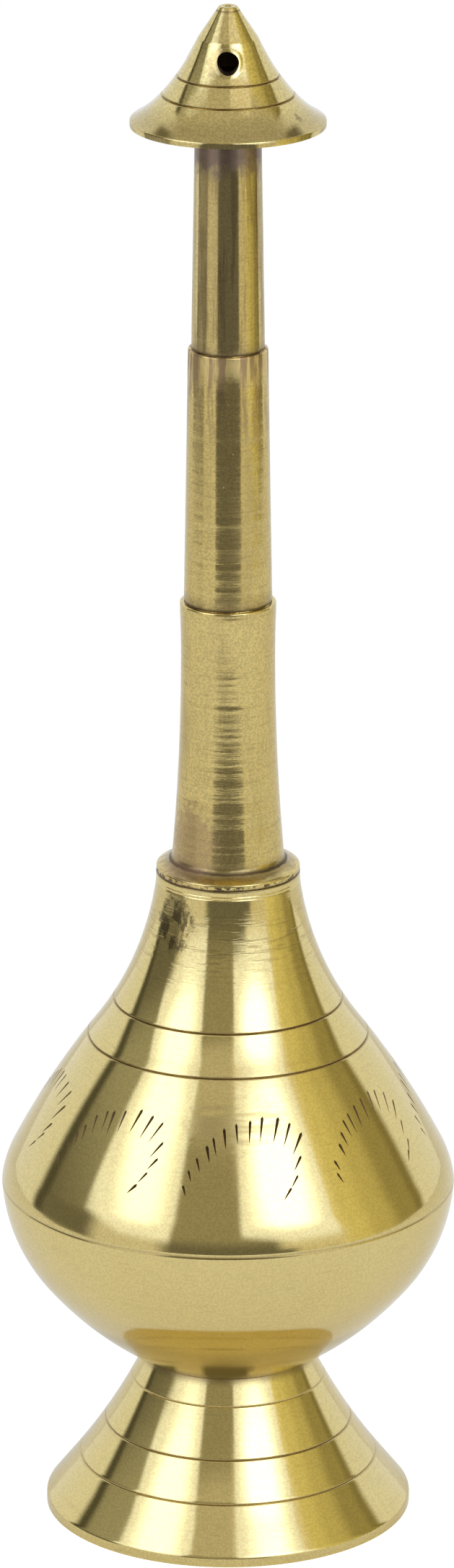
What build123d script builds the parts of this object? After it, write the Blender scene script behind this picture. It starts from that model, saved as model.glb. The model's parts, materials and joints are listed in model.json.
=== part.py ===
from build123d import *
import os
from math import cos, pi, radians, sin

# Rosewater sprinkler of turned brass, filled by unscrewing its long neck and shaken to sprinkle.
# Millimetres, +Z up, origin at the centre of the foot's underside, a drilled hole towards -Y.

# Visible heights of the turned pieces, from the ground up
foot_height = 26.0
bowl_height = 30.0
shoulder_height = 52.5
neck_lower_height = 45.0
neck_middle_height = 41.5
neck_upper_height = 36.0
hat_height = 19.0

# Foot: a hollow flared cone on a thin upright edge
foot_radius = 29.6
foot_edge = 1.5
foot_skirt_rise = 4.2
foot_skirt_slope = 38.4
foot_neck_radius = 13.7
foot_wall = 2.0
foot_groove_drops = (4.0, 11.5, 17.5)

# Belly: a bowl and a shoulder that meet at the widest line
belly_radius = 36.55
belly_wall = 2.0
bowl_start_angle = 29.4
bilge_inset = 5.95
bilge_drop = 15.7
shoulder_start_angle = 7.9
brow_inset = 1.6
brow_rise = 5.05
sweep_inset = 14.85
sweep_rise = 26.1
collar_land = 1.5
shoulder_groove_drops = (21.5, 27.5)

# Spigot under the bowl that sits in the foot
foot_seat_width = 2.7
foot_spigot_depth = 4.5
bowl_floor = 2.2

# Lap joint on the widest line
lap_height = 2.4
lap_thickness = 0.9

# Screw joint, drawn without its threads: a bush in the mouth and a nipple in the neck
thread_radius = 6.9
thread_pitch = 2.0
unscrewing_turns = 5
nipple_wall = 1.7
nipple_short = 0.5
nipple_socket_depth = 8.5
nipple_chamfer = 0.6
bush_length = 9.5
bush_rim = 1.05
ledge_width = 0.95
ledge_land = 1.0
ledge_undercut = 3.5
collar_wall = 1.9

# Leather washer in a recess of the bush, under the neck
washer_thickness = 1.2
washer_width = 1.4

# Neck: three tapering tubes, each let into the one below it
flange_setback = 0.05
flange_edge = 1.0
flange_rise = 0.5
socket_wall = 2.0
root_fillet = 1.2
root_lean = 5.0
lower_bore_radius = 5.9
waist_wall = 1.58
waist_drop = 7.5
lip_flare = 0.14
lip_drop = 1.8
lip_chamfer = 0.3
step_width = 0.62
middle_taper = 0.7
upper_step_width = 0.5
upper_taper = 0.6
spigot_length = 7.0
middle_spigot_wall = 1.15
upper_spigot_wall = 1.05

# Sprinkler hat: a concave cone with a drilled chamber over the end of the neck
brim_radius = 15.35
brim_edge = 0.9
brim_start_angle = 61.5
hat_flare_inset = 4.25
hat_flare_rise = 4.2
nib_foot_radius = 4.73
nib_height = 5.05
nib_top_radius = 1.4
nib_dimple_radius = 0.9
nib_dimple_depth = 0.5
hat_wall = 1.5
hat_boss_wall = 1.75
chamber_ledge = 0.9
chamber_height = 3.5
chamber_cone_height = 4.0
chamber_tip_radius = 0.8
chamber_cover = 3.1
hat_groove_rises = (5.0, 8.0)
spray_hole_radius = 1.75
spray_hole_lift = 2.9
spray_hole_count = 3

# Cut lines and fits
groove_width = 0.7
groove_depth = 0.4
seam_line_width = 0.4
seam_line_depth = 0.2
braze_gap = 0.05
thread_gap = 0.1

# Heights of the joints above the ground
seam = foot_height + bowl_height
mouth = seam + shoulder_height
lower_step = mouth + neck_lower_height
upper_step = lower_step + neck_middle_height
brim = upper_step + neck_upper_height
tip = brim + hat_height

# Radii outwards from the thread to the collar and the flange
thread_length = bush_length - nipple_short
nipple_bore_radius = thread_radius - nipple_wall
bush_bore_radius = thread_radius + thread_gap
washer_radius = bush_bore_radius + washer_width
bush_radius = washer_radius + thread_gap + bush_rim
collar_radius = bush_radius + braze_gap + collar_wall
flange_radius = collar_radius - flange_setback
root_radius = thread_radius + braze_gap + socket_wall

# Radii of the neck, each tube from the one below it
waist_radius = lower_bore_radius + waist_wall
lip_radius = waist_radius + lip_flare
middle_foot_radius = lip_radius - step_width
middle_top_radius = middle_foot_radius - middle_taper
middle_spigot_radius = lower_bore_radius - braze_gap
middle_bore_radius = middle_spigot_radius - middle_spigot_wall
upper_foot_radius = middle_top_radius - upper_step_width
upper_top_radius = upper_foot_radius - upper_taper
upper_spigot_radius = middle_bore_radius - braze_gap
upper_bore_radius = upper_spigot_radius - upper_spigot_wall

# Belly and hat
foot_spigot_radius = foot_neck_radius - foot_seat_width
lap_radius = belly_radius - belly_wall + lap_thickness
chamber_radius = upper_top_radius - chamber_ledge
chamber_low = tip - chamber_cover - chamber_cone_height - chamber_height


def turned(section):
    """A solid turned about the upright axis from its half section, drawn as radius and height."""
    return revolve(Plane.XZ * section, Axis.Z, 360)


def disc(radius, low, high):
    """A plain round between two heights."""
    return Pos(0, 0, (low + high) / 2) * Cylinder(radius, high - low)


def taper(low_radius, high_radius, low, high):
    """A tapering round between two heights."""
    return Pos(0, 0, (low + high) / 2) * Cone(low_radius, high_radius, high - low)


def leaning(angle):
    """The direction that leans in towards the axis by an angle from upright."""
    return (-sin(radians(angle)), cos(radians(angle)))


def flowing(stations, direction):
    """Arcs through the stations, each one leaving in the direction in which the last arrived."""
    arcs = []
    for start, end in zip(stations, stations[1:]):
        arc = TangentArc(start, end, tangent=direction)
        direction = arc % 1
        arcs.append(arc)
    return arcs


def inset(arcs, wall):
    """The same arcs, a wall's thickness inside the first ones."""
    places = [arc @ 0 for arc in arcs] + [arcs[-1] @ 1]
    directions = [arc % 0 for arc in arcs] + [arcs[-1] % 1]
    inner = [place + way.rotate(Axis.Z, 90) * wall for place, way in zip(places, directions)]
    return flowing(inner, directions[0])


def half_section(lines):
    """The face between an outline, drawn upwards, and the axis."""
    low = lines[0] @ 0
    high = lines[-1] @ 1
    closing = Polyline(high, (0, high.Y), (0, low.Y), low)
    return make_face([edge for line in [*lines, closing] for edge in line.edges()])


def station_at(lines, height):
    """The place and the direction of an outline where it passes a height."""
    line = next((piece for piece in lines if (piece @ 1).Y >= height), lines[-1])
    low, high = 0.0, 1.0
    for _ in range(30):
        middle = (low + high) / 2
        if (line @ middle).Y < height:
            low = middle
        else:
            high = middle
    return line @ low, line % low


def groove(lines, height, width=groove_width, depth=groove_depth):
    """A V cut round an outline at a height, square to the surface there."""
    place, along = station_at(lines, height)
    inward = along.rotate(Axis.Z, 90)
    reach = along * width - inward * depth
    back = along * -width - inward * depth
    return turned(make_face(Polyline(place + reach, place + inward * depth, place + back, close=True)))


def foot_outline():
    low = Vector(foot_radius, foot_edge)
    lean = leaning(foot_skirt_slope)
    bend = (low.X + lean[0] / lean[1] * foot_skirt_rise, low.Y + foot_skirt_rise)
    skirt = Line(low, bend)
    return [skirt, TangentArc(bend, (foot_neck_radius, foot_height), tangent=lean)]


def make_foot():
    outline = foot_outline()
    body = turned(half_section([Line((foot_radius, 0), outline[0] @ 0), *outline]))
    skirt, sweep = outline
    inner_skirt = Pos(*(skirt % 0).rotate(Axis.Z, 90) * foot_wall) * Line(skirt @ 0, skirt @ 1)
    inner_sweep = TangentArc(
        inner_skirt @ 1, (sweep @ 1) + (sweep % 1).rotate(Axis.Z, 90) * foot_wall, tangent=skirt % 1
    )
    inner_low = inner_skirt @ 0
    hollow = turned(half_section([Line((inner_low.X, 0), inner_low), inner_skirt, inner_sweep]))
    ceiling = foot_height - foot_spigot_depth
    body -= hollow & disc(foot_radius, 0, ceiling)
    body -= disc(foot_spigot_radius + braze_gap, ceiling, foot_height)
    for drop in foot_groove_drops:
        body -= groove(outline, foot_height - drop)
    return body


def bowl_outline():
    start = (sin(radians(90 - bowl_start_angle)), cos(radians(90 - bowl_start_angle)))
    stations = [
        (foot_neck_radius, foot_height),
        (belly_radius - bilge_inset, seam - bilge_drop),
        (belly_radius, seam),
    ]
    return flowing(stations, start)


def seam_line():
    """The fine line that shows where bowl and shoulder meet."""
    return groove(bowl_outline(), seam, seam_line_width, seam_line_depth)


def make_bowl():
    outline = bowl_outline()
    body = turned(half_section(outline))
    body += disc(lap_radius, seam, seam + lap_height)
    body += disc(foot_spigot_radius, foot_height - foot_spigot_depth, foot_height)
    inner = inset(outline, belly_wall)
    top = inner[-1] @ 1
    rise = Line(top, (top.X, seam + lap_height))
    hollow = turned(half_section([*inner, rise]))
    floor = foot_height - foot_spigot_depth + bowl_floor
    well = disc(foot_spigot_radius - belly_wall, floor, (inner[0] @ 0).Y)
    body -= hollow + well
    return body - seam_line()


def shoulder_outline():
    stations = [
        (belly_radius, seam),
        (belly_radius - brow_inset, seam + brow_rise),
        (belly_radius - sweep_inset, seam + sweep_rise),
        (collar_radius, mouth - collar_land),
    ]
    arcs = flowing(stations, leaning(shoulder_start_angle))
    return [*arcs, Line(stations[-1], (collar_radius, mouth))]


def make_shoulder():
    outline = shoulder_outline()
    body = turned(half_section(outline))
    inner = inset(outline[:3], belly_wall)
    low = inner[0] @ 0
    hollow = turned(half_section([Line((low.X, seam), low), *inner]))
    ledge = mouth - bush_length
    ledge_radius = bush_radius - ledge_width
    undercut = ledge - ledge_land - ledge_undercut
    body -= hollow & disc(belly_radius, seam, undercut)
    throat = station_at(inner, undercut)[0].X
    body -= taper(throat, ledge_radius, undercut, ledge - ledge_land)
    body -= disc(ledge_radius, ledge - ledge_land, ledge)
    body -= disc(bush_radius + braze_gap, ledge, mouth)
    body -= disc(lap_radius + braze_gap, seam, seam + lap_height)
    for drop in shoulder_groove_drops:
        body -= groove(outline, mouth - drop)
    return body - seam_line() - mouth_line()


def mouth_line():
    """The fine line that shows where the neck's flange sits on the mouth."""
    edge = [Line((collar_radius, mouth - collar_land), (collar_radius, mouth))]
    return groove(edge, mouth, seam_line_width, seam_line_depth)


def make_mouth_bush():
    body = disc(bush_radius, mouth - bush_length, mouth)
    body -= disc(bush_bore_radius, mouth - bush_length, mouth)
    return body - disc(washer_radius + thread_gap, mouth - washer_thickness, mouth)


def make_seal_washer():
    body = disc(washer_radius, mouth - washer_thickness, mouth)
    return body - disc(bush_bore_radius, mouth - washer_thickness, mouth)


def make_neck_nipple():
    low = mouth - thread_length
    high = mouth + nipple_socket_depth
    body = disc(thread_radius, low, high)
    body = chamfer(body.edges().group_by(Axis.Z)[0], nipple_chamfer)
    return body - disc(nipple_bore_radius, low, high)


def neck_lower_outline():
    flange_top = mouth + flange_edge
    root = flange_top + flange_rise
    rim = Line((flange_radius, mouth), (flange_radius, flange_top))
    slope = Line(rim @ 1, (root_radius + root_fillet, root))
    fillet = TangentArc(slope @ 1, (root_radius, root + root_fillet), tangent=slope % 1)
    stations = [
        fillet @ 1,
        (waist_radius, lower_step - waist_drop),
        (lip_radius, lower_step - lip_drop),
    ]
    stem = flowing(stations, leaning(root_lean))
    lip = Line(stations[-1], (lip_radius, lower_step))
    return [rim, slope, fillet, *stem, lip]


def make_neck_lower():
    body = turned(half_section(neck_lower_outline()))
    body = chamfer(body.edges().group_by(Axis.Z)[-1], lip_chamfer)
    body -= disc(thread_radius + braze_gap, mouth, mouth + nipple_socket_depth)
    body -= disc(lower_bore_radius, mouth, lower_step)
    return body - mouth_line()


def make_neck_middle():
    low = lower_step - spigot_length
    body = taper(middle_foot_radius, middle_top_radius, lower_step, upper_step)
    body = chamfer(body.edges().group_by(Axis.Z)[-1], lip_chamfer)
    body += disc(middle_spigot_radius, low, lower_step)
    return body - disc(middle_bore_radius, low, upper_step)


def make_neck_upper():
    low = upper_step - spigot_length
    body = taper(upper_foot_radius, upper_top_radius, upper_step, brim)
    body += disc(upper_spigot_radius, low, upper_step)
    body += disc(upper_top_radius, brim, chamber_low)
    return body - disc(upper_bore_radius, low, chamber_low)


def hat_outline():
    edge_top = (brim_radius, brim + brim_edge)
    stations = [
        edge_top,
        (brim_radius - hat_flare_inset, brim + hat_flare_rise),
        (nib_foot_radius, tip - nib_height),
    ]
    arcs = flowing(stations, leaning(brim_start_angle))
    return [*arcs, Line(stations[-1], (nib_top_radius, tip))]


def spray_holes():
    """The drilled holes, spaced evenly round the hat from the front."""
    drill = Rot(90, 0, 0) * Cylinder(spray_hole_radius, brim_radius, align=(Align.CENTER, Align.CENTER, Align.MIN))
    turns = [360 / spray_hole_count * step for step in range(spray_hole_count)]
    return [Pos(0, 0, chamber_low + spray_hole_lift) * Rot(0, 0, turn) * drill for turn in turns]


def make_sprinkler_hat():
    outline = hat_outline()
    edge = Line((brim_radius, brim), outline[0] @ 0)
    body = turned(half_section([edge, *outline]))
    inner = inset(outline[:2], hat_wall)
    low = inner[0] @ 0
    under = turned(half_section([Line((low.X, low.Y - hat_height), low), *inner]))
    socket_radius = upper_top_radius + braze_gap
    body -= under - disc(socket_radius + hat_boss_wall, brim - hat_height, tip)
    cone_low = chamber_low + chamber_height
    body -= disc(socket_radius, brim, chamber_low)
    body -= disc(chamber_radius, chamber_low, cone_low)
    body -= taper(chamber_radius, chamber_tip_radius, cone_low, cone_low + chamber_cone_height)
    body -= spray_holes()
    for rise in hat_groove_rises:
        body -= groove(outline, brim + rise)
    return body - taper(0, nib_dimple_radius, tip - nib_dimple_depth, tip)


pieces = {
    "foot": make_foot,
    "bowl": make_bowl,
    "shoulder": make_shoulder,
    "mouth_bush": make_mouth_bush,
    "seal_washer": make_seal_washer,
    "neck_nipple": make_neck_nipple,
    "neck_lower": make_neck_lower,
    "neck_middle": make_neck_middle,
    "neck_upper": make_neck_upper,
    "sprinkler_hat": make_sprinkler_hat,
}

os.makedirs("parts", exist_ok=True)
for name, make in pieces.items():
    piece = make()
    piece.label = name
    export_step(piece, f"parts/{name}.step")
    print(name, "volume", round(piece.volume), "mm3")

lift = thread_pitch * unscrewing_turns
print("neck lifts", lift, "mm in", unscrewing_turns, "turns:", round(thread_pitch / (2 * pi), 5), "mm per radian")
print("nipple clears the mouth by", lift - thread_length, "mm; overall height", tip, "mm")
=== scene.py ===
# %% [markdown]
# # A turned brass rosewater sprinkler
#
# The sprinkler is filled by unscrewing its long neck, and shaken so that rosewater flies out of three
# holes in its hat. A brass worker turns it on a lathe in nine pieces, brazes most of them together and
# cuts a ring of small arches round the belly by hand. A leather washer seals the screw joint.
#
# The lesson works as that workshop does. A half section is drawn with a pen, `spin` is the lathe, a
# boolean is the drill and the graver, and the finish comes last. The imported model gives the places, so
# the first cell loads it as a fixed frame.

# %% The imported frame
import json
import random
from math import atan2, cos, hypot, pi, radians, sin

import bmesh
import bpy
from mathutils import Matrix, Vector


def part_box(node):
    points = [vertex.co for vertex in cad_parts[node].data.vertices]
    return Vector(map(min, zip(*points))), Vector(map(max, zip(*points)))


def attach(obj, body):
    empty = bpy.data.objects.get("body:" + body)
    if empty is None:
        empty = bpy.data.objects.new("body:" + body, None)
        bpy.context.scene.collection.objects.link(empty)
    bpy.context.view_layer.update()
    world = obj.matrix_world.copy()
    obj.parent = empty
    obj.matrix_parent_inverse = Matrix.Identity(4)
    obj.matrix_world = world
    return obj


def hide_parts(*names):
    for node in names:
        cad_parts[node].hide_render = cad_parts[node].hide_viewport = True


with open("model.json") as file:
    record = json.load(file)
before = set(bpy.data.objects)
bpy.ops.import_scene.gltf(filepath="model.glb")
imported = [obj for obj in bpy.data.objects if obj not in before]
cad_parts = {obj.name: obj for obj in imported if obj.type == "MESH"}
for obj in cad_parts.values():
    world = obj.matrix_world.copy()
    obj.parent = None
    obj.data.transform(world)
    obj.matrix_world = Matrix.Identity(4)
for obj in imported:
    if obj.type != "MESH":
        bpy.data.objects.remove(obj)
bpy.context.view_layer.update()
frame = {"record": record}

scene = bpy.context.scene

# %% [markdown]
# ## Heights and radii
#
# All drawing is in millimetres, as on a workshop drawing, and each finished piece is scaled to metres
# once. The heights of the joints and the outer radii are read from the frame, so the visual pieces
# follow the solids if those change.

# %% Measures read from the frame
MM = 0.001


def low(node):
    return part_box(node)[0].z / MM


def high(node):
    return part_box(node)[1].z / MM


def radius(node):
    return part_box(node)[1].x / MM


ground = low("foot")
foot_top = high("foot")
seam = low("shoulder")
mouth = high("shoulder")
lower_step = high("neck_lower")
upper_step = high("neck_middle")
brim = low("sprinkler_hat")
tip = high("sprinkler_hat")
print("joints at", [round(z, 1) for z in (foot_top, seam, mouth, lower_step, upper_step, brim, tip)], "mm")

# %% [markdown]
# ## The camera
#
# The photograph was taken with a long lens from about 19 degrees above the table. A long lens keeps
# the foot and the hat at nearly one scale. The camera looks at the middle of the picture, which lies
# on the sprinkler's axis just above the belly, and it needs no shift.

# %% Camera
CAMERA_BACK = 1.368
CAMERA_UP = 0.580
CAMERA_ASIDE = -0.00017
AIM_UP = 0.1228
LENS = 207.7
SENSOR = 36
NEAREST = 0.05

camera_data = bpy.data.cameras.new("camera")
camera_data.lens = LENS
camera_data.sensor_width = SENSOR
camera_data.clip_start = NEAREST
camera = bpy.data.objects.new("camera", camera_data)
camera.location = (CAMERA_ASIDE, -CAMERA_BACK, CAMERA_UP)
aim = Vector((CAMERA_ASIDE, 0, AIM_UP)) - camera.location
camera.rotation_euler = aim.to_track_quat("-Z", "Y").to_euler()
scene.collection.objects.link(camera)
scene.camera = camera
scene.view_settings.view_transform = "Standard"
print("camera", round(aim.length, 3), "m away")

# %% [markdown]
# ## Node helpers
#
# Materials and the world are built from nodes. A small class keeps them readable: it adds a node and
# fills its sockets with values or links, and it has short ways to add maths, soft steps and mixes.


# %% Helpers for nodes
class Nodes:
    """A short way to write a node tree."""

    def __init__(self, tree):
        self.tree = tree
        tree.nodes.clear()

    def add(self, kind, inputs=None, **settings):
        node = self.tree.nodes.new("ShaderNode" + kind)
        for name, value in settings.items():
            setattr(node, name, value)
        for name, value in (inputs or {}).items():
            self.fill(node.inputs[name], value)
        return node

    def fill(self, socket, value):
        if isinstance(value, bpy.types.NodeSocket):
            self.tree.links.new(value, socket)
        else:
            socket.default_value = value

    def math(self, operation, *values):
        return self.add("Math", dict(enumerate(values)), operation=operation).outputs[0]

    def smooth(self, value, start, end, low=0.0, high=1.0):
        """A soft step from low to high while the value goes from start to end."""
        inputs = {"Value": value, "From Min": start, "From Max": end, "To Min": low, "To Max": high}
        return self.add("MapRange", inputs, interpolation_type="SMOOTHSTEP").outputs["Result"]

    def mix(self, share, first, second):
        """A colour between two colours."""
        return self.add("Mix", {0: share, 6: first, 7: second}, data_type="RGBA").outputs[2]


def new_material(name):
    """A material with an empty node tree, and what writes that tree."""
    material = bpy.data.materials.new(name)
    material.use_nodes = True
    return material, Nodes(material.node_tree)


def grey(level):
    return (level, level, level, 1.0)


# %% [markdown]
# ## A studio for polished metal
#
# Polished brass has hardly any colour of its own: it shows the room, tinted. So the room is half of
# this picture. In the photograph the sprinkler stands on a white table in front of a white backdrop.
# The camera stands in a dark gap between two soft boxes, and the right-hand side of the room is warm.
# What is far away is painted into the world by direction: an angle round the sprinkler, counted from
# the camera, and an angle above the table. Each row below covers what the rows before it painted. The
# backdrop covers them all behind the sprinkler, and the ends of its dark frame come last. The camera
# itself sees plain white.

# %% The room as a world
WHITE = 1.0
DARK = (0.19, 0.19, 0.17)
CEILING = (0.62, 0.61, 0.57)
BACKDROP = (0.92, 0.97, 1.07)
FRAME = (0.24, 0.23, 0.19)
ROOM = (
    # left, right, bottom, top, softness of the sides and of the ends, colour
    (-125.0, -60.0, 22.0, 100.0, 4.0, 12.0, (0.42, 0.43, 0.40)),
    (-33.0, 62.0, 10.0, 100.0, 4.0, 8.0, (0.38, 0.37, 0.31)),
    (-200.0, 200.0, 44.5, 100.0, 1.0, 4.0, CEILING),
    (44.0, 68.0, -30.0, 50.0, 6.0, 8.0, (1.06, 1.00, 0.68)),
    (61.0, 84.0, -30.0, 50.0, 7.0, 8.0, (0.83, 0.78, 0.42)),
    (76.0, 98.0, -30.0, 50.0, 7.0, 8.0, (0.66, 0.61, 0.32)),
    (92.0, 118.0, -30.0, 48.0, 7.0, 8.0, (0.40, 0.365, 0.19)),
    (-114.0, -107.0, -12.0, 44.0, 2.5, 4.0, (0.10, 0.10, 0.085)),
    (108.0, 114.0, -20.0, 46.0, 2.5, 4.0, (0.28, 0.255, 0.13)),
    (-112.0, -76.0, -35.0, -6.0, 5.0, 4.0, (0.42, 0.42, 0.45)),
    (-72.0, -33.0, -30.0, 22.0, 6.0, 6.0, (0.80, 0.80, 0.80)),
    (34.0, 60.0, -30.0, 12.0, 5.0, 6.0, (0.80, 0.77, 0.66)),
    (26.0, 60.0, 2.0, 18.0, 4.0, 4.0, (0.88, 0.87, 0.80)),
    (-33.0, 34.0, -30.0, -3.0, 3.0, 4.0, (0.18, 0.18, 0.19)),
    (6.0, 62.0, 40.0, 66.0, 5.0, 5.0, (0.98, 0.96, 0.98)),
    (-97.0, -55.0, 42.0, 56.0, 5.0, 5.0, (0.84, 0.88, 0.98)),
)
FRAME_OF_THE_BACKDROP = (
    (-156.0, -135.0, 41.0, 53.0, 4.0, 4.0, FRAME),
    (135.0, 156.0, 41.0, 53.0, 4.0, 4.0, FRAME),
)
BACKDROP_EDGE = (112.0, 117.5)
BACKDROP_TOP = (38.0, 60.0)


def window(nodes, around, above, left, right, bottom, top, soft_side, soft_end):
    """A soft-edged rectangle of directions, in degrees round and above the table."""
    sides = nodes.math(
        "MULTIPLY",
        nodes.smooth(around, left - soft_side, left + soft_side),
        nodes.smooth(around, right - soft_side, right + soft_side, 1.0, 0.0),
    )
    ends = nodes.math(
        "MULTIPLY",
        nodes.smooth(above, bottom - soft_end, bottom + soft_end),
        nodes.smooth(above, top - soft_end, top + soft_end, 1.0, 0.0),
    )
    return nodes.math("MULTIPLY", sides, ends)


world = bpy.data.worlds.new("studio")
scene.world = world
world.use_nodes = True
studio = Nodes(world.node_tree)
direction = studio.add("SeparateXYZ", {0: studio.add("TexCoord").outputs["Generated"]})
to_degrees = 180 / pi
around = studio.math("ARCTAN2", direction.outputs["X"], studio.math("MULTIPLY", direction.outputs["Y"], -1.0))
around = studio.math("MULTIPLY", around, to_degrees)
above = studio.math("MULTIPLY", studio.math("ARCSINE", direction.outputs["Z"]), to_degrees)


def painted(room, rows):
    """Paints rows of windows over what the room shows so far."""
    for *place, colour in rows:
        room = studio.mix(window(studio, around, above, *place), room, (*colour, 1.0))
    return room


room = painted((*DARK, 1.0), ROOM)
sheet = studio.mix(studio.smooth(above, *BACKDROP_TOP), (*BACKDROP, 1.0), (*CEILING, 1.0))
behind = studio.smooth(studio.math("ABSOLUTE", around), *BACKDROP_EDGE)
room = painted(studio.mix(behind, room, sheet), FRAME_OF_THE_BACKDROP)

seen = studio.add("LightPath").outputs["Is Camera Ray"]
blank = studio.add("Background", {"Color": grey(WHITE), "Strength": 1.0})
lit = studio.add("Background", {"Color": room, "Strength": 1.0})
shown = studio.add("MixShader", {0: seen, 1: lit.outputs[0], 2: blank.outputs[0]})
studio.add("OutputWorld", {"Surface": shown.outputs[0]})
print("painted parts of the room:", len(ROOM) + len(FRAME_OF_THE_BACKDROP) + 1)

# %% [markdown]
# ## The soft boxes
#
# The two soft boxes stand only sixty centimetres away, so the high hat sees them lower down than the
# belly does. That is why they are real sheets of light here and not part of the world. Each glows
# most in its middle and fades towards its edges, and each hangs a little askew, so its lower left
# corner starts higher up. Their light is a little cooler than the room. The camera looks through them.

# %% Soft boxes
BOX_AWAY = 0.60
BOX_LIGHT = (0.82, 0.90, 1.14)
BOX_LOW = 0.09
BOX_HIGH = 0.96
BOX_RIM = 1.5
BOX_SOFT = 0.13
SIDE_FADE = (0.84, 1.0)
CORE_SIDES = (0.15, 0.95)
CORE_BOTTOM = (0.20, 0.45)
CORE_TOP = (0.62, 0.90)


def soft_box(name, around, width, lift, core):
    """An upright sheet of light that faces the sprinkler, at an angle round it from the camera."""
    sheet = bmesh.new()
    sheet.loops.layers.uv.new("UVMap")
    bmesh.ops.create_grid(sheet, x_segments=1, y_segments=1, size=0.5, calc_uvs=True)
    bmesh.ops.scale(sheet, vec=(width, BOX_HIGH - BOX_LOW, 1), verts=sheet.verts)
    bmesh.ops.rotate(sheet, matrix=Matrix.Rotation(-pi / 2, 3, "X"), verts=sheet.verts)
    bmesh.ops.translate(sheet, vec=(0, -BOX_AWAY, (BOX_LOW + BOX_HIGH) / 2), verts=sheet.verts)
    bmesh.ops.rotate(sheet, matrix=Matrix.Rotation(radians(around), 3, "Z"), verts=sheet.verts)
    mesh = bpy.data.meshes.new(name)
    sheet.to_mesh(mesh)
    sheet.free()
    box = bpy.data.objects.new(name, mesh)
    scene.collection.objects.link(box)

    material, nodes = new_material(name)
    coordinates = nodes.add("TexCoord").outputs
    aside = nodes.math("SUBTRACT", nodes.add("SeparateXYZ", {0: coordinates["UV"]}).outputs["X"], 0.5)
    height = nodes.add("SeparateXYZ", {0: coordinates["Object"]}).outputs["Z"]
    to_the_left = nodes.math("MAXIMUM", nodes.math("MULTIPLY", aside, -2.0), 0.0)
    over_low = nodes.math("SUBTRACT", height, nodes.math("MULTIPLY", to_the_left, lift))
    across = nodes.math("MULTIPLY", nodes.math("ABSOLUTE", aside), 2.0)
    glowing = nodes.smooth(across, *SIDE_FADE, 1.0, 0.0)
    glowing = nodes.math("MULTIPLY", glowing, nodes.smooth(over_low, BOX_LOW, BOX_LOW + BOX_SOFT))
    glowing = nodes.math("MULTIPLY", glowing, nodes.smooth(height, BOX_HIGH - BOX_SOFT, BOX_HIGH, 1.0, 0.0))
    middle = nodes.smooth(across, *CORE_SIDES, 1.0, 0.0)
    middle = nodes.math("MULTIPLY", middle, nodes.smooth(over_low, *CORE_BOTTOM))
    middle = nodes.math("MULTIPLY", middle, nodes.smooth(height, *CORE_TOP, 1.0, 0.0))
    strength = nodes.smooth(middle, 0.0, 1.0, BOX_RIM, core)
    camera_ray = nodes.add("LightPath").outputs["Is Camera Ray"]
    hidden = nodes.math("MAXIMUM", camera_ray, nodes.add("NewGeometry").outputs["Backfacing"])
    share = nodes.math("MULTIPLY", glowing, nodes.math("SUBTRACT", 1.0, hidden))
    light = nodes.add("Emission", {"Color": (*BOX_LIGHT, 1.0), "Strength": strength})
    clear = nodes.add("BsdfTransparent")
    sheet_shader = nodes.add("MixShader", {0: share, 1: clear.outputs[0], 2: light.outputs[0]})
    nodes.add("OutputMaterial", {"Surface": sheet_shader.outputs[0]})
    mesh.materials.append(material)
    print(name, "at", around, "degrees, faces", [round(value, 2) for value in mesh.polygons[0].normal])


soft_box("left_soft_box", around=-54.5, width=0.62, lift=0.17, core=3.0)
soft_box("right_soft_box", around=32.0, width=0.615, lift=0.13, core=3.8)

# %% [markdown]
# ## The table
#
# The table is white, over a metre wide, and ends half a metre in front of the sprinkler. Those edges
# matter: the upper neck mirrors the dark gap beyond the front edge and the walls beyond the sides,
# while the lower neck still mirrors the table. Seen by the camera, the table glows enough to reach the
# white of the page wherever no shadow falls.

# %% Table
TABLE_FRONT = -0.50
TABLE_BACK = 1.60
TABLE_SIDE = 0.63
TABLE_WHITE = 0.80
TABLE_GLOW = 0.16
PAGE_GLOW = 0.62
SHADOW_REACH = (0.10, 0.30)

table_mesh = bpy.data.meshes.new("table")
bm = bmesh.new()
bmesh.ops.create_grid(bm, x_segments=8, y_segments=8, size=1.0)
bmesh.ops.scale(bm, vec=(TABLE_SIDE, (TABLE_BACK - TABLE_FRONT) / 2, 1), verts=bm.verts)
bmesh.ops.translate(bm, vec=(0, (TABLE_BACK + TABLE_FRONT) / 2, 0), verts=bm.verts)
bm.to_mesh(table_mesh)
bm.free()
table = bpy.data.objects.new("table", table_mesh)
scene.collection.objects.link(table)

table_white, paint = new_material("table_white")
seen = paint.add("LightPath").outputs["Is Camera Ray"]
cloth = paint.add("BsdfDiffuse", {"Color": grey(TABLE_WHITE)})
glow_strength = paint.smooth(seen, 0.0, 1.0, TABLE_GLOW, PAGE_GLOW)
glow = paint.add("Emission", {"Color": grey(WHITE), "Strength": glow_strength})
near = paint.add("AddShader", {0: cloth.outputs[0], 1: glow.outputs[0]})
page = paint.add("Emission", {"Color": grey(WHITE), "Strength": 1.0})
place = paint.add("TexCoord").outputs["Object"]
far = paint.smooth(paint.add("VectorMath", {0: place}, operation="LENGTH").outputs["Value"], *SHADOW_REACH)
far = paint.math("MULTIPLY", far, seen)
surface = paint.add("MixShader", {0: far, 1: near.outputs[0], 2: page.outputs[0]})
paint.add("OutputMaterial", {"Surface": surface.outputs[0]})
table_mesh.materials.append(table_white)

# %% [markdown]
# ## The lathe
#
# Each turned piece starts as a half section in the plane y = 0. A `Pen` draws it with `spin`, which
# can sweep one vertex along an arc as well as a whole section round the axis. An arc leaves in the
# direction in which the last stroke arrived, so neighbouring arcs flow into each other as they do
# under a scraper. Grooves are cut into the section before it is turned.

# %% Pen for half sections
ROUND = 256
FINE = 1e-4


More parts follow.
